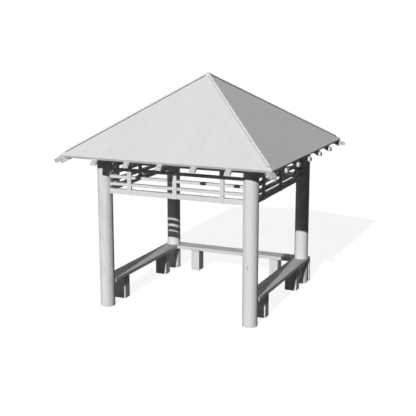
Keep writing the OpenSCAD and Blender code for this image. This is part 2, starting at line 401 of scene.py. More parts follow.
def weathered_timber(name, pale, late, end, ring, pith, strength, roughness, sawmarks=0.0):
    """Softwood gone grey. `ring` is the ring spacing and `pith` the way to the heart, in metres."""
    material, tree, shader = new_finish(name)
    stick = add(tree, "Attribute", attribute_name="grain").outputs["Vector"]
    worn = add(tree, "Attribute", attribute_name="edge").outputs["Fac"]
    sawn_end = add(tree, "Attribute", attribute_name="end_grain").outputs["Fac"]

    # Rings round the pith, which wanders as the tree grew
    slow = add(tree, "VectorMath", {0: stick, 1: (5, 5, 0.9)}, operation="MULTIPLY").outputs[0]
    swerve = add(tree, "TexNoise", {"Vector": slow, "Scale": 1.0, "Detail": 2.0}).outputs["Color"]
    heart = add(tree, "VectorMath", {0: stick, 1: (pith[0] - 0.03, pith[1] - 0.03, 0)},
                operation="ADD").outputs[0]
    bent = add(tree, "VectorMath", {0: swerve, 1: (0.06, 0.06, 0), 2: heart},
               operation="MULTIPLY_ADD").outputs[0]
    flat = add(tree, "VectorMath", {0: bent, 1: (1, 1, 0.03)}, operation="MULTIPLY").outputs[0]
    rings = add(tree, "TexWave", {"Vector": flat, "Scale": RING_WAVE / ring, "Distortion": 0.8,
                                  "Detail": 2.0, "Detail Scale": 0.6},
                wave_type="RINGS", rings_direction="Z", wave_profile="SAW").outputs["Fac"]
    late_wood = add(tree, "MapRange", {"Value": rings, "From Min": 0.35, "From Max": 0.95},
                    interpolation_type="SMOOTHSTEP").outputs[0]

    # Fibres, drawn 3 mm wide and a hand long, and broad weathered patches
    long_way = add(tree, "VectorMath", {0: stick, 1: (1, 1, 0.018)}, operation="MULTIPLY").outputs[0]
    fibre = add(tree, "TexNoise", {"Vector": long_way, "Scale": 320.0, "Detail": 3.0,
                                   "Roughness": 0.6}).outputs["Fac"]
    streak = add(tree, "TexNoise", {"Vector": long_way, "Scale": 55.0, "Detail": 2.0}).outputs["Fac"]
    half_way = add(tree, "VectorMath", {0: stick, 1: (1, 1, 0.3)}, operation="MULTIPLY").outputs[0]
    patch = add(tree, "TexNoise", {"Vector": half_way, "Scale": 6.0, "Detail": 3.0}).outputs["Fac"]

    # Hairline cracks run where a long thin noise crosses its middle value
    off_middle = add(tree, "Math", {0: streak, 1: 0.5}, operation="SUBTRACT").outputs[0]
    distance = add(tree, "Math", {0: off_middle}, operation="ABSOLUTE").outputs[0]
    hairline = add(tree, "MapRange", {"Value": distance, "From Min": 0.0, "From Max": 0.006,
                                      "To Min": 1.0, "To Max": 0.0}).outputs[0]
    open_patch = add(tree, "MapRange", {"Value": patch, "From Min": 0.52, "From Max": 0.62}).outputs[0]
    crack = add(tree, "Math", {0: hairline, 1: open_patch}, operation="MULTIPLY").outputs[0]

    # Knots 25 mm across, one to every metre or so
    knot_space = add(tree, "VectorMath", {0: stick, 1: (1, 0, 0.28)}, operation="MULTIPLY").outputs[0]
    cells = add(tree, "TexVoronoi", {"Vector": knot_space, "Scale": 5.0}, feature="F1")
    ragged = add(tree, "Math", {0: fibre, 1: 0.03, 2: cells.outputs["Distance"]},
                 operation="MULTIPLY_ADD").outputs[0]
    knot = add(tree, "MapRange", {"Value": ragged, "From Min": 0.05, "From Max": 0.10,
                                  "To Min": 1.0, "To Max": 0.0}, interpolation_type="SMOOTHSTEP")
    chosen = add(tree, "SeparateColor", {0: cells.outputs["Color"]}).outputs[0]
    kept = add(tree, "Math", {0: chosen, 1: 0.55}, operation="GREATER_THAN").outputs[0]
    knots = add(tree, "Math", {0: knot.outputs[0], 1: kept}, operation="MULTIPLY").outputs[0]

    # Layers of colour over the pale wood: where each shows, how strongly, and its tint. Faces that
    # look up get the last one, which is partly rain and dust and partly painted shade on the tops
    lines = add(tree, "MapRange", {"Value": fibre, "From Min": 0.42, "From Max": 0.72}).outputs[0]
    bleach = add(tree, "MapRange", {"Value": patch, "From Min": 0.35, "From Max": 0.7}).outputs[0]
    facing = add(tree, "NewGeometry").outputs["Normal"]
    upward = add(tree, "SeparateXYZ", {0: facing}).outputs["Z"]
    # Faces that look up are darkened: rain and dust, and painted shade on the tops
    rained_on_and_painted_shade = add(tree, "MapRange", {"Value": upward, "From Min": 0.5, "From Max": 0.95}).outputs[0]
    colour = linear(pale)
    for where, share, tint in (
            (late_wood, 0.55 * strength, late), (lines, 0.6 * strength, late), (bleach, 0.55, pale),
            (sawn_end, 0.5, end), (worn, 0.4, RUBBED), (knots, 0.5, KNOT), (crack, 0.55, CRACK),
            (rained_on_and_painted_shade, 0.42, DUST_AND_PAINTED_SHADE)):
        amount = add(tree, "Math", {0: where, 1: share}, operation="MULTIPLY").outputs[0]
        colour = add(tree, "Mix", {FACTOR: amount, FIRST: colour, SECOND: linear(tint)},
                     data_type="RGBA").outputs[MIXED]

    # Relief: raised late wood, fibres, cracks, and the marks of the saw
    relief = add(tree, "Math", {0: late_wood, 1: 0.35, 2: fibre}, operation="MULTIPLY_ADD").outputs[0]
    relief = add(tree, "Math", {0: crack, 1: -1.2, 2: relief}, operation="MULTIPLY_ADD").outputs[0]
    if sawmarks:
        marks = add(tree, "TexWave", {"Vector": stick, "Scale": RING_WAVE / SAW_FEED,
                                      "Distortion": 0.5},
                    wave_type="BANDS", bands_direction="Z").outputs["Fac"]
        relief = add(tree, "Math", {0: marks, 1: sawmarks, 2: relief},
                     operation="MULTIPLY_ADD").outputs[0]
    bump = add(tree, "Bump", {"Height": relief, "Strength": 0.55, "Distance": 0.0012}).outputs[0]
    dull = add(tree, "MapRange", {"Value": fibre, "From Min": 0.3, "From Max": 0.7,
                                  "To Min": roughness - 0.08, "To Max": roughness + 0.12}).outputs[0]
    feed(tree, shader, {"Base Color": colour, "Normal": bump, "Roughness": dull, "IOR": 1.5,
                        "Specular IOR Level": 0.10})    # loose fibres break up the gloss
    return material


# Peeled logs: the blade follows the trunk, so rings show only at the ends and round the knots
peeled_larch = weathered_timber("peeled_larch", "#e0dfde", "#c4c3c1", "#bdbbb8", 0.009, (0, 0),
                                strength=0.8, roughness=0.80)
# Sawn beams and blocks: matt, with the saw's marks square to the grain
sawn_larch = weathered_timber("sawn_larch", "#dcdbd9", "#c0bfbc", "#b5b3af", 0.009, (0.05, 0.02),
                              strength=0.9, roughness=0.84, sawmarks=0.35)
# Planed rails and boards: smoother than the sawn ones
planed_larch = weathered_timber("planed_larch", "#d9d9d7", "#c4c3c1", "#bbb9b6", 0.008, (0.04, 0.07),
                                strength=0.8, roughness=0.76)
# Seat planks: planed, rubbed smooth by use, and a shade darker
seat_larch = weathered_timber("seat_larch", "#d2d2d0", "#b9b8b5", "#aeaca8", 0.010, (0.06, 0.09),
                              strength=0.9, roughness=0.74)
print("timber finishes:", [m.name for m in (peeled_larch, sawn_larch, planed_larch, seat_larch)])

# %% [markdown]
# ## The roof's coating
#
# The roof is a deck of boards under a rolled-on elastic roof coating, pale grey and matt. A roller
# leaves a fine orange-peel stipple, rain leaves faint streaks down the slope, and the joints of the
# boards below telegraph through as hardly visible lines. The coating is an acrylic, a dielectric
# with an IOR near 1.49. The streaks use the same `grain` space as the timbers: on the panels its
# third axis runs down the slope.

# %% Make the roof coating
roof_coating, tree, shader = new_finish("roof_coating")
stick = add(tree, "Attribute", attribute_name="grain").outputs["Vector"]
down = add(tree, "VectorMath", {0: stick, 1: (1, 1, 0.05)}, operation="MULTIPLY").outputs[0]
rain = add(tree, "TexNoise", {"Vector": down, "Scale": 9.0, "Detail": 4.0,
                              "Roughness": 0.6}).outputs["Fac"]
cloud = add(tree, "TexNoise", {"Vector": stick, "Scale": 2.2, "Detail": 3.0}).outputs["Fac"]
stipple = add(tree, "TexNoise", {"Vector": stick, "Scale": 240.0, "Detail": 2.0}).outputs["Fac"]
streak = add(tree, "MapRange", {"Value": rain, "From Min": 0.45, "From Max": 0.75,
                                "To Max": 0.35}).outputs[0]
haze = add(tree, "MapRange", {"Value": cloud, "From Min": 0.4, "From Max": 0.7,
                              "To Max": 0.4}).outputs[0]
speck = add(tree, "MapRange", {"Value": stipple, "From Min": 0.55, "From Max": 0.75,
                               "To Max": 0.12}).outputs[0]
colour = linear("#dedede")
for amount, tint in ((streak, "#cecece"), (haze, "#d7d7d7"), (speck, "#b8b8b8")):
    colour = add(tree, "Mix", {FACTOR: amount, FIRST: colour, SECOND: linear(tint)},
                 data_type="RGBA").outputs[MIXED]
bump = add(tree, "Bump", {"Height": stipple, "Strength": 0.35, "Distance": 0.0008}).outputs[0]
feed(tree, shader, {"Base Color": colour, "Normal": bump, "Roughness": 0.82, "IOR": 1.49,
                    "Specular IOR Level": 0.10})        # chalky and stippled
print("roof coating", roof_coating.name, "has", len(tree.nodes), "nodes")

# %% [markdown]
# ## Metal: painted flashing, galvanised fixings and a foam closure
#
# The strips along the hips are folded from coil-coated steel sheet. Its baked paint is smooth and a
# little glossier than the roof, with a faint orange peel. Screws and bolts are hot-dip galvanised:
# zinc crystallises in flakes, called spangle, 5 to 15 mm wide, that differ a little in brightness.
# Under the strips' edges a closed-cell foam keeps the rain out. Its dark grey is painted shade: it
# draws a dark line along each side of the strip.

# %% Make the metal and foam finishes
coated_steel, tree, shader = new_finish("coated_steel")
stick = add(tree, "Attribute", attribute_name="grain").outputs["Vector"]
dust = add(tree, "TexNoise", {"Vector": stick, "Scale": 14.0, "Detail": 3.0}).outputs["Fac"]
peel = add(tree, "TexNoise", {"Vector": stick, "Scale": 300.0, "Detail": 1.0}).outputs["Fac"]
film = add(tree, "MapRange", {"Value": dust, "From Min": 0.4, "From Max": 0.7,
                              "To Max": 0.5}).outputs[0]
dusty = add(tree, "Mix", {FACTOR: film, FIRST: linear("#e2e2e2"), SECOND: linear("#d2d2d2")},
            data_type="RGBA").outputs[MIXED]
bump = add(tree, "Bump", {"Height": peel, "Strength": 0.15, "Distance": 0.0004}).outputs[0]
feed(tree, shader, {"Base Color": dusty, "Normal": bump, "Roughness": 0.60, "Specular IOR Level": 0.3})

galvanised, tree, shader = new_finish("galvanised_steel")
place = add(tree, "TexCoord").outputs["Object"]
flakes = add(tree, "TexVoronoi", {"Vector": place, "Scale": 160.0}, feature="F1").outputs["Color"]
flake = add(tree, "SeparateColor", {0: flakes}).outputs[0]
zinc = add(tree, "Mix", {FACTOR: flake, FIRST: linear("#a9adb0"), SECOND: linear("#c9cccd")},
           data_type="RGBA").outputs[MIXED]
matt = add(tree, "MapRange", {"Value": flake, "To Min": 0.38, "To Max": 0.55}).outputs[0]
feed(tree, shader, {"Base Color": zinc, "Roughness": matt, "Metallic": 1.0})

# The foam's dark grey is painted shade, a dark line beside each flashing strip
foam_with_painted_shade, tree, shader = new_finish("closure_foam_painted_shade")
place = add(tree, "TexCoord").outputs["Object"]
bubbles = add(tree, "TexVoronoi", {"Vector": place, "Scale": 400.0}, feature="F1").outputs["Distance"]
foam_painted_shade_grey = add(tree, "Mix", {FACTOR: bubbles, FIRST: linear("#434342"), SECOND: linear("#2f2f2e")},
           data_type="RGBA").outputs[MIXED]
pits = add(tree, "Bump", {"Height": bubbles, "Strength": 0.5, "Distance": 0.0008}).outputs[0]
feed(tree, shader, {"Base Color": foam_painted_shade_grey, "Normal": pits, "Roughness": 0.9})
print("metal and foam finishes:", [m.name for m in (coated_steel, galvanised, foam_with_painted_shade)])

# %% [markdown]
# ## Screws, washers, plugs and bolts
#
# All of these are turned on a lathe in real life, or pressed to a shape that a lathe could make, so
# one function sweeps a profile of (radius, height) points round an axis. With six sides it gives a
# hexagon head, with sixteen a washer or a wooden plug.

# %% Turn a fixing
def turned(pile, at, axis, profile, sides, finish, spin=0.0):
    """A closed turned shape. `profile` lists (radius, height) in metres from its base up."""
    axis = Vector(axis).normalized()
    u = axis.orthogonal().normalized()
    v = axis.cross(u)
    points, grain = [], []
    for radius, height in profile:
        for i in range(sides):
            a = spin + 2 * math.pi * i / sides
            offset = u * radius * math.cos(a) + v * radius * math.sin(a) + axis * height
            points.append(Vector(at) + offset)
            grain.append(offset)
    pile.lay(points, tube_faces(len(profile), sides), grain, finish=finish)


def countersunk_screw(pile, at, axis, finish):
    """A 9 mm countersunk head with its drive recess, seated flush with the wood."""
    turned(pile, at, axis, [(0.0030, -0.002), (0.0045, -0.0003), (0.0046, 0.0004), (0.0040, 0.0007),
                            (0.0019, 0.0006), (0.0014, -0.0010)], 12, finish, chance.uniform(0, 1))


def roofing_screw(pile, at, axis, finish):
    """A hexagon head 8 mm across, on a 15 mm washer."""
    turned(pile, at, axis, [(0.0075, -0.001), (0.0075, 0.0010), (0.0066, 0.0018), (0.0030, 0.0021)],
           16, finish)
    turned(pile, at, axis, [(0.0040, 0.001), (0.0046, 0.0024), (0.0046, 0.0060), (0.0038, 0.0068)],
           6, finish, chance.uniform(0, 1))


def coach_bolt(pile, at, axis, finish):
    """A 19 mm nut on a 36 mm washer, with the bolt's end standing out of it."""
    turned(pile, at, axis, [(0.018, -0.001), (0.018, 0.0022), (0.0172, 0.0030), (0.008, 0.0030)],
           24, finish)
    turned(pile, at, axis, [(0.0100, 0.002), (0.0109, 0.0040), (0.0109, 0.0115), (0.0096, 0.0128)],
           6, finish, chance.uniform(0, 1))
    turned(pile, at, axis, [(0.0060, 0.006), (0.0060, 0.0165), (0.0050, 0.0175)], 12, finish)


def wooden_plug(pile, at, axis, finish):
    """A 14 mm plug that hides a screw, pared off flush."""
    turned(pile, at, axis, [(0.0069, -0.004), (0.0070, 0.0002), (0.0064, 0.0005)], 16, finish,
           chance.uniform(0, 3))


print("a roofing screw is 15 mm wide, a coach bolt's washer 36 mm, a wooden plug 14 mm")

# %% [markdown]
# ## Posts
#
# Each post is a log about as thick as a dinner plate. Its foot stands flat on the ground, and its
# head is sawn to the slope of the hip rafter that rests on it. A turned cylinder would be too clean,
# so the post gets three long checks, a slight swell and its sawn end. The log is built a little too
# long and then cut, as on the building site.

# %% Stand the posts
CORNERS = {"front_left": (-1, -1), "front_right": (1, -1), "back_right": (1, 1), "back_left": (-1, 1)}
TOO_LONG = 0.05
CHECK_DEEP, CHECK_WIDE = 0.012, 0.006
inmost = post_line - post_radius / math.sqrt(2)
for corner, (sx, sy) in CORNERS.items():
    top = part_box(corner + "_post")[1].z
    slope = Vector((sx * math.sin(hip_pitch) / math.sqrt(2), sy * math.sin(hip_pitch) / math.sqrt(2),
                    math.cos(hip_pitch)))
    head = (Vector((sx * inmost, sy * inmost, top)), slope, True)
    pile = Pile()
    round_log(pile, (sx * post_line, sy * post_line, 0), (0, 0, 1), top + TOO_LONG, 2 * post_radius,
              120, 42, drying_checks(3, top, CHECK_DEEP, CHECK_WIDE), [head], ease=0.005)
    pile.make(corner + "_log_post", [peeled_larch], "post_wood", corner + "_post")

# %% [markdown]
# ## Wall plates and hip rafters
#
# The plates lie from post to post and carry the round rafters. The hips run from the corners to the
# peak. Each hip is made of two layers bolted together, and the lower layer stops short, which gives
# the stepped tail under the roof's corner. The upper layer is let up between the ends of the panels,
# and the nuts of the bolts through both layers show from below. All of it is sawn stuff, so one
# swept, eased section is all that each timber needs.

# %% Lay the plates
SIDES = {"front": 0, "right": 90, "back": 180, "left": 270}      # degrees to turn the front side by
PLATE_EASE = 0.005
plate_low, plate_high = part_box("front_plate")
for side, turn in SIDES.items():
    pile = Pile()
    sawn_box(pile, (-post_line, plate_low.y, plate_low.z), (post_line, plate_high.y, plate_high.z),
             0, PLATE_EASE)
    pile.make(side + "_wall_plate", [sawn_larch], "frame_wood", side + "_plate", turn=turn)

# %% Lay the hips
HIP_WIDTH, HIP_LAYER, HIP_LET_IN, HIP_TAIL, HIP_STEP = 0.090, 0.048, 0.037, 0.080, 0.078
HIP_START = 0.06                    # the hips stop short of the middle, where they would collide
hip_top = roof_under(0) - HIP_WIDTH / 2 * math.tan(hip_pitch) + HIP_LET_IN
hip_length = eave_line * math.sqrt(2) / math.cos(hip_pitch) + HIP_TAIL
hip_bolts = (0.70, 1.35, hip_length - HIP_STEP - 0.16)
for corner, (sx, sy) in CORNERS.items():
    down = Vector((sx * math.cos(hip_pitch) / math.sqrt(2), sy * math.cos(hip_pitch) / math.sqrt(2),
                   -math.sin(hip_pitch)))
    across = Vector((-sy, sx, 0)) / math.sqrt(2)
    up = down.cross(across)
    up = up if up.z > 0 else -up
    pile = Pile()
    for layer, end_at in ((0, hip_length), (1, hip_length - HIP_STEP)):
        level = Vector((0, 0, hip_top)) - up * HIP_LAYER * (layer + 0.5)
        sawn(pile, level + down * HIP_START, level + down * end_at, across, HIP_WIDTH, HIP_LAYER)
    for place in hip_bolts:
        coach_bolt(pile, Vector((0, 0, hip_top)) - up * 2 * HIP_LAYER + down * place, -up, 1)
    pile.make(corner + "_hip", [sawn_larch, galvanised], "frame_wood", corner + "_hip_rafter")

# %% [markdown]
# ## Round rafters
#
# Thinner logs, five to a side, run from the hips down past the plates. A flat is hewn along the top
# of each one for the roof boards. The tails are cut plumb at the tip and level underneath, and the
# upper ends are cut to the sides of the hips. Every cut is one plane through the log, so a bisect
# does it as a saw does, and the faces it leaves are marked as end grain.

# %% Lay the rafters
RAFTER, RAFTER_FLAT, RAFTER_TAIL, TAIL_TRIM = 0.100, 0.020, 0.024, 0.048
RAFTER_INSET, RAFTER_SHIFT, RAFTERS = 0.138, 0.033, 5
START_EARLY, END_LATE = 0.06, 0.08  # each log is laid too long at both ends, and then cut
tip_line = eave_line + RAFTER_TAIL
level_cut = roof_under(tip_line) - (RAFTER - RAFTER_FLAT) / math.cos(pitch) + TAIL_TRIM
gap = 2 * (post_line - RAFTER_INSET) / (RAFTERS - 1)
hip_side = -HIP_WIDTH / 2 * math.sqrt(2)
out_and_down = Vector((0, -math.cos(pitch), -math.sin(pitch)))
rafter_cuts = [
    ((0, 0, roof_under(0)), (0, -math.sin(pitch), math.cos(pitch)), False),
    ((0, -tip_line, 0), (0, -1, 0), True),
    ((0, 0, level_cut), (0, 0, -1), True),
    ((0, hip_side, 0), (math.sqrt(0.5), math.sqrt(0.5), 0), True),
    ((0, hip_side, 0), (-math.sqrt(0.5), math.sqrt(0.5), 0), True)]
for side, turn in SIDES.items():
    pile = Pile()
    for i in range(RAFTERS):
        x = RAFTER_INSET - post_line - RAFTER_SHIFT + i * gap
        start = abs(x) - START_EARLY
        axis = roof_under(start) - (RAFTER / 2 - RAFTER_FLAT) / math.cos(pitch)
        length = (tip_line - start) / math.cos(pitch) + END_LATE
        rows = max(8, int(length / 0.07))
        round_log(pile, (x, -start, axis), out_and_down, length, RAFTER, 56, rows,
                  drying_checks(2, length, 0.006, 0.0035), rafter_cuts, ease=0.003)
    pile.make(side + "_log_rafters", [peeled_larch], "rafter_wood", side + "_rafters", turn=turn)

# %% [markdown]
# ## Roof panels
#
# Each slope is a deck of tongue-and-groove boards that run level, with a V-shaped joint between the
# boards that shows from below, under one continuous coat that turns down over the eave. A side of
# the roof is a triangle, so every board is mitred at both ends. In section each piece is a small
# polygon, and the mitre falls out of one rule: a point that lies `out` from the middle of the plan
# may reach exactly as far to the left and to the right.

# %% Deck the roof
COAT, BOARDS, JOINT_V, EAVE_EASE = 0.003, 17, 0.0035, 0.004
BOARD_GAP = 0.0005                  # room for the boards to swell in wet weather
DIP_WIDE, DIP_DEEP = 0.012, 0.0004  # how far the coat sinks over a joint
slope_length = eave_line / math.cos(pitch)


def on_slope(down, deep):
    """(out, height) of a point some way down a slope and some depth under its top face."""
    return (max(down * math.cos(pitch) - deep * math.sin(pitch), 0.0005),
            peak - down * math.sin(pitch) - deep * math.cos(pitch))


def mitred(pile, profile, along_x, finish):
    """Lays a section of (down, deep) points across the front slope, mitred at both hips."""
    points, grain = [], []
    for down, deep in profile:
        out, z = on_slope(down, deep)
        for x in (-out, out):
            points.append((x, -out, z))
            grain.append((down - profile[0][0], deep, x) if along_x else (x, deep, down))
    n = len(profile)
    faces = [[2 * i, 2 * ((i + 1) % n), 2 * ((i + 1) % n) + 1, 2 * i + 1] for i in range(n)]
    faces += [[2 * i for i in range(n)][::-1], [2 * i + 1 for i in range(n)]]
    pile.lay(points, faces, grain, end=[0.0] * n + [1.0, 1.0], finish=finish)


board_top = 0.05                    # the topmost board starts just below the peak
board_width = (slope_length - COAT - board_top) / BOARDS
for side, turn in SIDES.items():
    pile = Pile()
    coat = [(0, 0)]
    for i in range(1, BOARDS):
        joint = board_top + i * board_width
        coat += [(joint - DIP_WIDE / 2, 0), (joint, DIP_DEEP), (joint + DIP_WIDE / 2, 0)]
    coat += [(slope_length - EAVE_EASE, 0), (slope_length - EAVE_EASE * 0.3, EAVE_EASE * 0.3),
             (slope_length, EAVE_EASE), (slope_length, PANEL), (slope_length - COAT, PANEL),
             (slope_length - COAT, COAT), (0.01, COAT)]
    mitred(pile, coat, False, 0)
    for i in range(BOARDS):
        a = board_top + i * board_width + BOARD_GAP / 2
        b = a + board_width - BOARD_GAP
        mitred(pile, [(a, COAT), (b, COAT), (b, PANEL - JOINT_V), (b - JOINT_V, PANEL),
                      (a + JOINT_V, PANEL), (a, PANEL - JOINT_V)], True, 1)
    pile.make(side + "_roof_deck", [roof_coating, planed_larch], "roof_boards", side + "_roof_panel",
              turn=turn)

# %% [markdown]
# ## Hip flashings and the peak cap
#
# Where two slopes meet, a folded strip of painted steel covers the joint. It is a shallow upturned V
# that lies on a foam closure almost as wide as itself, with its edges folded down a little over the
# foam. It comes in two lengths, the upper lapped over the lower, and hexagon screws hold it. At the
# peak the four strips meet under a small pyramid folded from the same sheet.

# %% Fold the flashings
STRIP, STRIP_HIGH, SETBACK, LAP = 0.056, 0.020, 0.100, 1.35
SHEET, OVERLAP = 0.0013, 0.07
SCREWS, FIRST_SCREW, SCREW_EVERY, OFF_RIDGE = 8, 0.16, 0.31, 0.0145
fall = math.tan(hip_pitch)
strip_end = eave_line * math.sqrt(2) - SETBACK


def swept(pile, stations, section, place, finish):
    """A section swept through stations. `place` turns (station, u, h) into a point."""
    points = [place(r, u, h) for r in stations for u, h in section]
    grain = [(u, h, r) for r in stations for u, h in section]
    pile.lay(points, tube_faces(len(stations), len(section)), grain, finish=finish)


def mirrored(right):
    """A whole section from its right half."""
    return right + [(-u, h) for u, h in reversed(right)]


def strip_section(half, high, fold=0.0035):
    """An upturned V with short folded edges, and bends 2 to 3 mm in radius."""
    return mirrored([(half - 0.001, high - fold), (half, high - fold), (half, high - 0.0024),
                     (half - 0.0007, high - 0.0008), (half - 0.0024, high), (0.006, high),
                     (0.0025, high - 0.0004)])


for corner, (sx, sy) in CORNERS.items():
    def on_hip(r, u, h):
        """A point at r out along the hip, u across it, and h over the roof."""
        return ((sx * r - sy * u) / math.sqrt(2), (sy * r + sx * u) / math.sqrt(2),
                peak - (r + abs(u)) * fall + h)

    pile = Pile()
    swept(pile, [0.03, LAP - 0.003, LAP], strip_section(STRIP / 2, STRIP_HIGH), on_hip, 0)
    swept(pile, [LAP - OVERLAP, strip_end - 0.003, strip_end],
          strip_section(STRIP / 2 - 0.0012, STRIP_HIGH - SHEET), on_hip, 0)
    # The foam under each strip's edges is dark grey, painted shade that draws a line along the strip
    foam_half = STRIP / 2 - 0.004
    swept(pile, [0.05, strip_end - 0.002],
          mirrored([(foam_half, -0.001), (foam_half, STRIP_HIGH - 0.003)]), on_hip, 1)
    for i in range(SCREWS):
        r = FIRST_SCREW + SCREW_EVERY * i
        point = on_hip(r, OFF_RIDGE if i % 2 else -OFF_RIDGE, STRIP_HIGH - (SHEET if r > LAP else 0))
        if abs(point[0]) > abs(point[1]):
            square_out = (sx * math.sin(pitch), 0, math.cos(pitch))
        else:
            square_out = (0, sy * math.sin(pitch), math.cos(pitch))
        roofing_screw(pile, point, square_out, 2)
    pile.make(corner + "_hip_flashing", [coated_steel, foam_with_painted_shade, galvanised], "cap_metal",
              corner + "_hip_cap")

# %% Fold the peak cap
PEAK_CAP, PEAK_CAP_HIGH, CORNER_ROUND = 0.096, 0.022, 0.06
pile = Pile()
half, rise = PEAK_CAP / 2, math.tan(pitch)
rings = [(half, -half * rise - 0.001), (half, -half * rise + PEAK_CAP_HIGH - 0.003),
         (half - 0.0012, -(half - 0.0012) * rise + PEAK_CAP_HIGH - 0.0006),
         (half - 0.004, -(half - 0.004) * rise + PEAK_CAP_HIGH - 0.0001),
         (0.004, -0.004 * rise + PEAK_CAP_HIGH), (0.0012, -0.0012 * rise + PEAK_CAP_HIGH - 0.0004)]
points, grain = [], []
for out, h in rings:
    near = out * (1 - CORNER_ROUND)
    for sx, sy in ((1, -1), (1, 1), (-1, 1), (-1, -1)):
        pair = [(near * sx, out * sy), (out * sx, near * sy)]
        for x, y in pair if sx * sy < 0 else pair[::-1]:
            points.append((x, y, peak + h))
            grain.append((x, y, h))
pile.lay(points, tube_faces(len(rings), 8), grain)
pile.make("peak_flashing", [coated_steel], "cap_metal", "peak_cap", flat_angle=20)

# %% [markdown]
# ## Lattice friezes
#
# Under each plate hangs a frieze: a tall bottom rail, four thinner rails above it, and three upright
# battens let into the rails and standing a little out in front of them. The rails run into the posts
# on both sides. Two countersunk screws hold every crossing, and no two pairs are quite in line.

# %% Hang the friezes
RAIL_THICK, RAIL_HIGH, BOTTOM_HIGH, RAILS = 0.075, 0.042, 0.080, 5
BATTEN_WIDE, BATTEN_THICK, BATTEN_PROUD = 0.070, 0.040, 0.012
LATTICE_EASE, SCREW_ASIDE, SCREW_TILT, UNEVEN = 0.003, 0.019, 0.25, 0.002
lattice_low, lattice_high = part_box("front_lattice")
rail_step = (lattice_high.z - lattice_low.z - BOTTOM_HIGH / 2) / (RAILS + 0.5)
batten_line = post_line - post_radius - 0.340
rail_end = post_line - post_radius + 0.02
rail_front, rail_back = -post_line - RAIL_THICK / 2, -post_line + RAIL_THICK / 2
rail_middles = [lattice_low.z + BOTTOM_HIGH / 2 + i * rail_step for i in range(RAILS)]
for side, turn in SIDES.items():
    pile = Pile()
    for i, z in enumerate(rail_middles):
        high = RAIL_HIGH if i else BOTTOM_HIGH
        sawn_box(pile, (-rail_end, rail_front, z - high / 2), (rail_end, rail_back, z + high / 2),
                 0, LATTICE_EASE)
    batten_front = rail_front - BATTEN_PROUD
    for x in (-batten_line, 0, batten_line):
        sawn_box(pile, (x - BATTEN_WIDE / 2, batten_front, lattice_low.z + 0.001),
                 (x + BATTEN_WIDE / 2, batten_front + BATTEN_THICK, lattice_high.z), 2, LATTICE_EASE)
        for z in rail_middles:
            for dx in (-SCREW_ASIDE, SCREW_ASIDE):
                at = (x + dx + chance.uniform(-UNEVEN, UNEVEN), batten_front,
                      z + chance.uniform(-UNEVEN, UNEVEN) + dx * SCREW_TILT)
                countersunk_screw(pile, at, (0, -1, 0), 1)
    pile.make(side + "_frieze", [planed_larch, galvanised], "lattice_wood", side + "_lattice",
              turn=turn)

# %% [markdown]
# ## Benches
#
# A seat is two thick planks side by side, scribed round the posts. In plan a plank is a polygon with
# a bite out of it, so it is drawn as an outline, raised to its thickness, and beveled along all its
# sharp edges. That gives an eased edge round the bites as well, which a swept section could not. Four
# wooden plugs over each leg hide the screws that hold the planks down.

# %% Cut a plank
SEAT_EASE, PLUGS_ACROSS, PLUGS_ALONG = 0.004, 0.065, 0.05


def plank(pile, outline, low, high, along):
    """A flat plank with an outline in plan, and its grain along axis 0 or 1."""
    bm = bmesh.new()
    bottom = bm.faces.new([bm.verts.new((x, y, low)) for x, y in outline])
    bm.normal_update()
    raised = bmesh.ops.extrude_face_region(bm, geom=[bottom])["geom"]
    bmesh.ops.translate(bm, verts=[g for g in raised if isinstance(g, bmesh.types.BMVert)],
                        vec=(0, 0, high - low))
    bmesh.ops.recalc_face_normals(bm, faces=bm.faces[:])
    sharp = [e for e in bm.edges if e.calc_face_angle(0) > math.radians(30)]
    eased = set(bmesh.ops.bevel(bm, geom=sharp, offset=SEAT_EASE, offset_type="OFFSET", segments=2,
                                profile=0.5, affect="EDGES", clamp_overlap=True)["faces"])
    # A bevel makes its points and faces in no fixed order, so both are sorted to give the same mesh
    # on every run
    verts = sorted(bm.verts, key=lambda v: [round(c, 5) for c in v.co])
    for i, vert in enumerate(verts):
        vert.index = i
    faces = sorted(bm.faces, key=lambda f: sorted(v.index for v in f.verts))
    loops = [[v.index for v in f.verts] for f in faces]
    loops = [loop[loop.index(min(loop)):] + loop[:loop.index(min(loop))] for loop in loops]
    across = 1 - along
    middle_line = sum(p[across] for p in outline) / len(outline)
    pile.lay([v.co[:] for v in verts], loops,
             [(v.co[across] - middle_line, v.co.z - low, v.co[along]) for v in verts],
             [1.0 if all(f in eased for f in v.link_faces) else 0.0 for v in verts],
             [float(abs(f.normal[along]) > 0.9 and f.calc_area() > 1e-4) for f in faces])
    bm.free()


def bite(cx, cy, radius, start, stop, steps=20):
    """Points along an arc round a post, in degrees."""
    return [(cx + radius * math.cos(math.radians(start + (stop - start) * i / steps)),
             cy + radius * math.sin(math.radians(start + (stop - start) * i / steps)))
            for i in range(steps + 1)]


def plugs(pile, x, y, z, along, way=1):
    """Four plugs over a leg, further apart across the seat than along it."""
    for across in (-PLUGS_ACROSS * way, PLUGS_ACROSS * way):
        for lengthways in (-PLUGS_ALONG, PLUGS_ALONG):
            dx, dy = (lengthways, across) if along == 0 else (across, lengthways)
            wooden_plug(pile, (x + dx, y + dy, z), (0, 0, 1), 0)


print("a bite of a quarter circle has", len(bite(0, 0, post_radius, 0, 90)), "points")

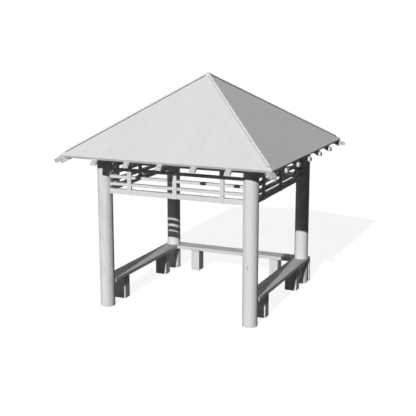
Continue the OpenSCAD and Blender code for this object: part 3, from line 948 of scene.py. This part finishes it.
# %% Lay the seats
SEAT_JOINT, SCRIBE, LEG_INSET = 0.0025, 0.0003, 0.48
SEAT_GAP = 0.001                    # between the back seat and the side seats
seat_low, seat_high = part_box("right_seat")
scribed = post_radius + SCRIBE
half_joint = SEAT_JOINT / 2
reach = math.degrees(math.asin((post_line + seat_low.y) / scribed))
near = math.degrees(math.asin(half_joint / scribed))
leg_line = post_line - LEG_INSET
for name, way in (("left", -1), ("right", 1)):
    pile = Pile()
    for inner in (-1, 1):                # the plank towards the middle, and the outer one
        side_x = seat_low.x if inner < 0 else seat_high.x
        split = post_line + inner * half_joint
        front = bite(post_line, -post_line, scribed, reach, 90 - near)
        back = bite(post_line, post_line, scribed, -90 + near, 90 - near, 40)
        if inner < 0:
            front = [(2 * post_line - x, y) for x, y in front]
            back = [(2 * post_line - x, y) for x, y in back]
        outline = [(side_x, seat_low.y), *front, *back, (split, seat_high.y), (side_x, seat_high.y)]
        plank(pile, [(way * x, y) for x, y in outline], seat_low.z, seat_high.z, 1)
    for y in (-leg_line, leg_line):
        plugs(pile, way * post_line, y, seat_high.z, 1, way)
    pile.make(name + "_bench_seat", [seat_larch], "seat_wood", name + "_seat")

back_low, back_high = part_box("back_seat")
pile = Pile()
for low_y, high_y in ((back_low.y, post_line - half_joint), (post_line + half_joint, back_high.y)):
    x = back_high.x - SEAT_GAP
    plank(pile, [(-x, low_y), (x, low_y), (x, high_y), (-x, high_y)], back_low.z, back_high.z, 0)
for x in (-leg_line, leg_line):
    plugs(pile, x, post_line, back_high.z, 0)
pile.make("back_bench_seat", [seat_larch], "seat_wood", "back_seat")

# %% [markdown]
# ## Bench legs
#
# The legs are short, heavy blocks with upright grain, two to a bench, and a slim square leg stands
# under each outer back corner. Blocks as thick as these always dry with cracks in their faces.

# %% Stand the legs
BLOCK_EASE, SLIM_EASE, BLOCK_FROM = 0.006, 0.003, 0.1
LEGS = [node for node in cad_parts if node.endswith("_leg")]
for node in LEGS:
    low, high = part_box(node)
    pile = Pile()
    sawn_box(pile, low, high, 2, BLOCK_EASE if high.x - low.x > BLOCK_FROM else SLIM_EASE)
    pile.make(node + "_block", [sawn_larch], "leg_wood", node)
print(len(LEGS), "legs")

# %% [markdown]
# ## Floor, light and camera
#
# A studio floor should be pale and plain and still hold the shadow. The floor here shows itself to
# the camera and in reflections as almost white, while the light that it bounces towards the object is
# that of a dark grey, so the undersides stay in shade. One low sun gives crisp shadows. A weak even
# sky fills them, with a faint broad light from the front and a soft low one from behind, which keeps
# the back readable. The camera looks a little down on the gazebo through a fairly long lens.

# %% Make the floor
def seen_directly(tree):
    """1 for what the camera sees, directly, mirrored or through glass, and 0 for other light."""
    rays = add(tree, "LightPath").outputs
    seen = add(tree, "Math", {0: rays["Is Camera Ray"], 1: rays["Is Glossy Ray"]},
               operation="MAXIMUM").outputs[0]
    return add(tree, "Math", {0: seen, 1: rays["Is Transmission Ray"]},
               operation="MAXIMUM").outputs[0]


FLOOR = 120                         # so wide that its edge can't be seen
floor_mesh = bpy.data.meshes.new("studio_floor")
floor_mesh.from_pydata([(sx * FLOOR, sy * FLOOR, 0) for sx, sy in CORNERS.values()], [],
                       [(0, 1, 2, 3)])
floor = bpy.data.objects.new("studio_floor", floor_mesh)
bpy.context.scene.collection.objects.link(floor)
paper = bpy.data.materials.new("white_studio_paper")
paper.use_nodes = True
tree = paper.node_tree
tree.nodes.clear()
glow = add(tree, "Emission", {"Color": (1, 1, 1, 1), "Strength": 0.90}).outputs[0]
lit = add(tree, "BsdfDiffuse", {"Color": (0.19, 0.19, 0.19, 1)}).outputs[0]
to_eye = add(tree, "AddShader", {0: glow, 1: lit}).outputs[0]
bounce = add(tree, "BsdfDiffuse", {"Color": (0.08, 0.08, 0.08, 1)}).outputs[0]
surface = add(tree, "MixShader", {0: seen_directly(tree), 1: bounce, 2: to_eye}).outputs[0]
add(tree, "OutputMaterial", {"Surface": surface})
floor_mesh.materials.append(paper)
print("floor", 2 * FLOOR, "m wide")

# %% Light it
world = bpy.data.worlds.new("studio_sky")
bpy.context.scene.world = world
world.use_nodes = True
tree = world.node_tree
tree.nodes.clear()
fill = add(tree, "Background", {"Color": (1, 1, 1, 1), "Strength": 0.022}).outputs[0]
white = add(tree, "Background", {"Color": (1, 1, 1, 1), "Strength": 1.0}).outputs[0]
sky = add(tree, "MixShader", {0: seen_directly(tree), 1: fill, 2: white}).outputs[0]
add(tree, "OutputWorld", {"Surface": sky})


def add_sun(name, side_on, height, strength, angle):
    """A sun, `side_on` degrees to the right of the front and `height` degrees up."""
    sun = bpy.data.objects.new(name, bpy.data.lights.new(name, "SUN"))
    bpy.context.scene.collection.objects.link(sun)
    a, e = math.radians(side_on), math.radians(height)
    ray = Vector((-math.sin(a) * math.cos(e), math.cos(a) * math.cos(e), -math.sin(e)))
    sun.rotation_euler = ray.to_track_quat("-Z", "Y").to_euler()
    sun.data.energy = strength
    sun.data.angle = math.radians(angle)


add_sun("key_sun", 5.0, 28.1, 3.45, 0.6)
add_sun("soft_front_fill", -45.0, 15.0, 0.13, 40)
add_sun("low_back_fill", 203.8, 3.0, 1.8, 8)
print("key light from 5 degrees right of the front, 28 degrees up")

# %% Place the camera
UNIT = post_line                    # the distances below are in half post spacings
camera = bpy.data.objects.new("camera", bpy.data.cameras.new("camera"))
bpy.context.scene.collection.objects.link(camera)
azimuth, elevation, distance = math.radians(23.7621), math.radians(12.498), 13.1127 * UNIT
target = Vector((-0.3412, 0.7697, 1.0036)) * UNIT
backward = Vector((math.sin(azimuth) * math.cos(elevation), -math.cos(azimuth) * math.cos(elevation),
                   math.sin(elevation)))
camera.location = target + backward * distance
camera.rotation_euler = (-backward).to_track_quat("-Z", "Y").to_euler()
camera.data.sensor_width = 36
camera.data.lens = 78.83
bpy.context.scene.camera = camera
bpy.context.scene.view_settings.view_transform = "Standard"
print(f"camera {camera.location.z:.2f} m up, {distance:.1f} m from its target")
